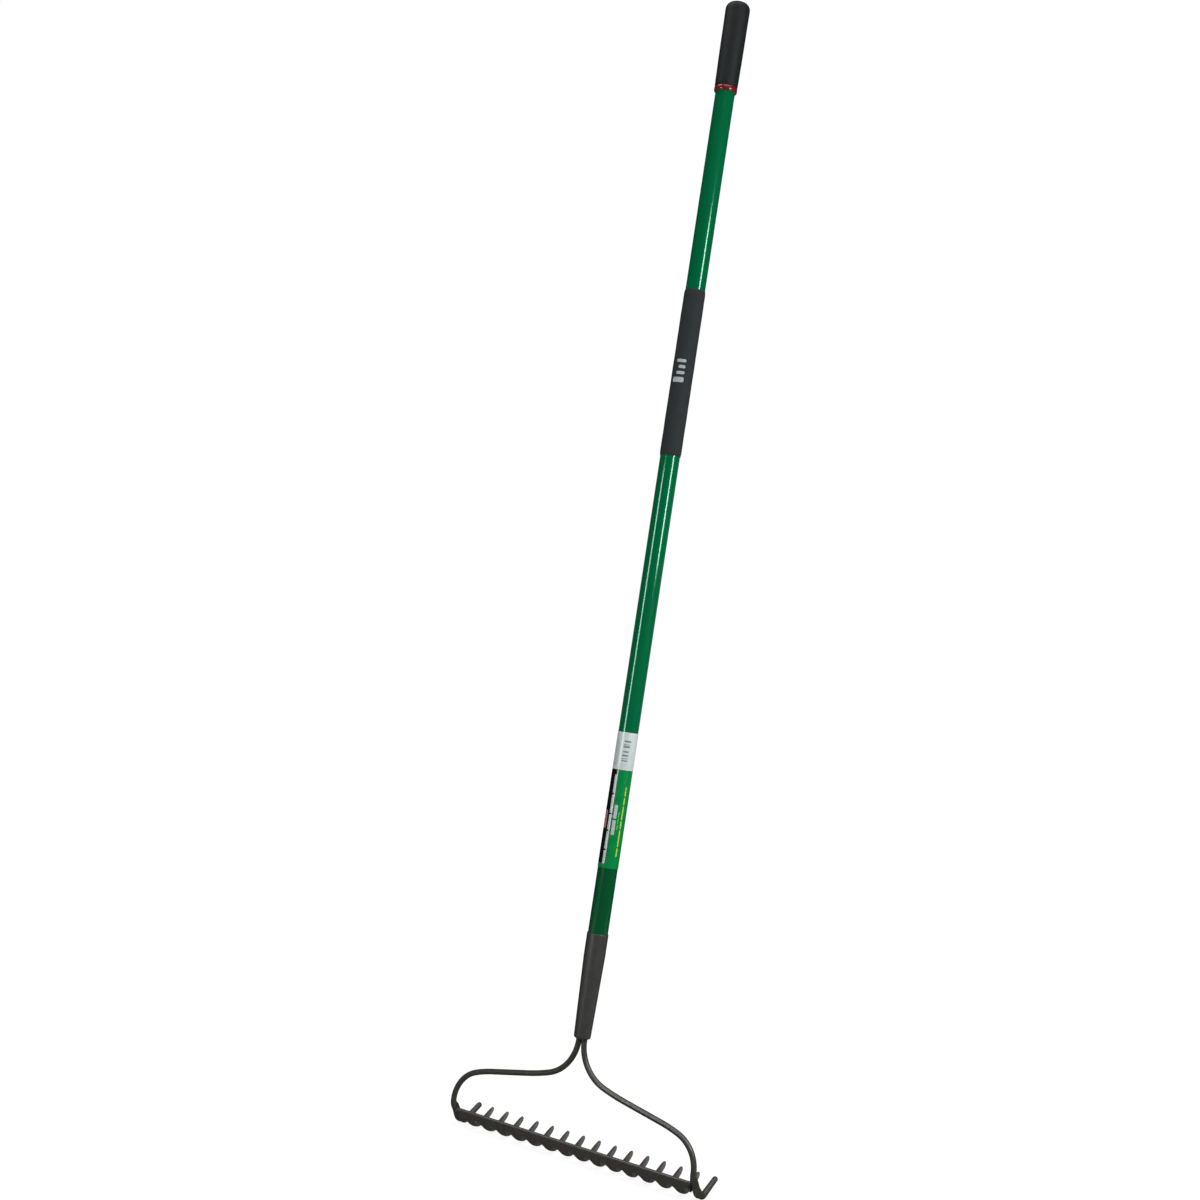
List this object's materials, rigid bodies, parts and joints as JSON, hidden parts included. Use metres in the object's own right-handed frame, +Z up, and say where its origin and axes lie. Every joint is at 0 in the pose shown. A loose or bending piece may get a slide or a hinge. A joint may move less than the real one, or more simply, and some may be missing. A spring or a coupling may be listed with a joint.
{
  "type": "bow rake",
  "caption": "Long-handled bow rake: steel tined head on a rod bow, tapered ferrule, fibreglass pole, foam grips and a printed label band.",
  "frame": {"origin": "on the ground under the middle of the rake's outer box, with the rake upright on the curve of its tines and the grip at the top", "axes": "+Z up along the handle to the grip; +X along the rake head; +Y the way the tines point"},
  "size_m": [0.4098, 0.0944, 1.6843],
  "materials": {
    "pole": "glossy green pultruded fibreglass with faint lengthwise streaks",
    "plug_plastic": "black moulded plastic, hidden inside",
    "core_plastic": "black moulded plastic, hidden inside",
    "ferrule_paint": "satin charcoal paint on drawn steel",
    "label_print": "printed plastic film, green and black with pale marks",
    "sticker_paper": "white printed film",
    "mid_foam": "matte charcoal foam with a pale printed mark",
    "end_foam": "matte charcoal foam-like rubber",
    "ring_plastic": "glossy dark red plastic",
    "bow_paint": "satin dark grey paint on round rod",
    "head_paint": "satin dark brown-grey paint with faint mill texture",
    "weld_paint": "painted weld bead"
  },
  "bodies": {
    "root": {"handle_tube": "pole", "tube_plug": "plug_plastic", "core_plug": "core_plastic", "ferrule": "ferrule_paint", "label_sleeve": "label_print", "label_sticker": "sticker_paper", "mid_grip": "mid_foam", "end_grip": "end_foam", "grip_ring": "ring_plastic", "bow_rod_right": "bow_paint", "bow_rod_left": "bow_paint", "rake_head": "head_paint", "weld_right": "weld_paint", "weld_left": "weld_paint"}
  },
  "joints": []
}
